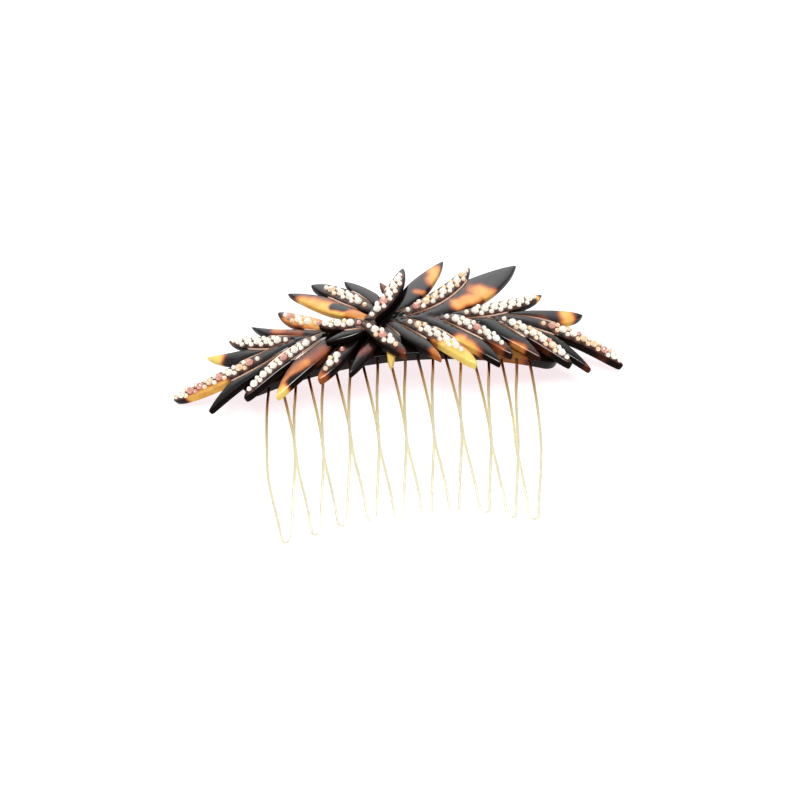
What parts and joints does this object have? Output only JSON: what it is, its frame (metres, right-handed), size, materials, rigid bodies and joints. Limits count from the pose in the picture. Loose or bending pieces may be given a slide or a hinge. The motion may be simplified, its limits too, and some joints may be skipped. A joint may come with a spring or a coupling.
{
  "type": "decorative hair comb",
  "caption": "Decorative hair comb: leaf sprays of tortoiseshell acetate set with rhinestone rows, on a curved bar holding a row of looped gold wire teeth.",
  "frame": {"origin": "centre of the back bar's flat crown-side edge face, at the middle of the bar's thickness", "axes": "+X along the bar to the right as seen from the front with the teeth pointing down, +Y from the teeth towards the crown, +Z out of the ornament's front; the comb lies on its back"},
  "size_m": [0.1145, 0.0786, 0.0252],
  "materials": {
    "tortoiseshell": "polished tortoiseshell cellulose acetate, black-brown with amber patches",
    "gold_wire": "polished pale gold plate",
    "rhinestone": "faceted foil-backed crystal in clear and peach, on clear glue",
    "brass_pin": "satin"
  },
  "bodies": {
    "root": {"back_bar": "tortoiseshell", "right_spray": "tortoiseshell", "left_spray": "tortoiseshell", "centre_sprig": "tortoiseshell", "tooth_01": "gold_wire", "tooth_02": "gold_wire", "tooth_03": "gold_wire", "tooth_04": "gold_wire", "tooth_05": "gold_wire", "tooth_06": "gold_wire", "tooth_07": "gold_wire", "tooth_08": "gold_wire", "tooth_09": "gold_wire", "tooth_10": "gold_wire", "stones_right_spray_upper_2": "rhinestone", "stones_right_spray_upper_4": "rhinestone", "stones_right_spray_lower_2": "rhinestone", "stones_right_spray_lower_4": "rhinestone", "stones_right_spray_lower_6": "rhinestone", "stones_right_spray_end": "rhinestone", "stones_left_spray_upper_3": "rhinestone", "stones_left_spray_upper_5": "rhinestone", "stones_left_spray_upper_7": "rhinestone", "stones_left_spray_lower_2": "rhinestone", "stones_left_spray_lower_4": "rhinestone", "stones_left_spray_end": "rhinestone", "stones_centre_sprig_up": "rhinestone", "stones_centre_sprig_left": "rhinestone", "stones_centre_sprig_lower_right": "rhinestone", "pin_right_outer": "brass_pin", "pin_left_outer": "brass_pin", "pin_centre_right": "brass_pin", "pin_centre_left": "brass_pin"}
  },
  "joints": []
}
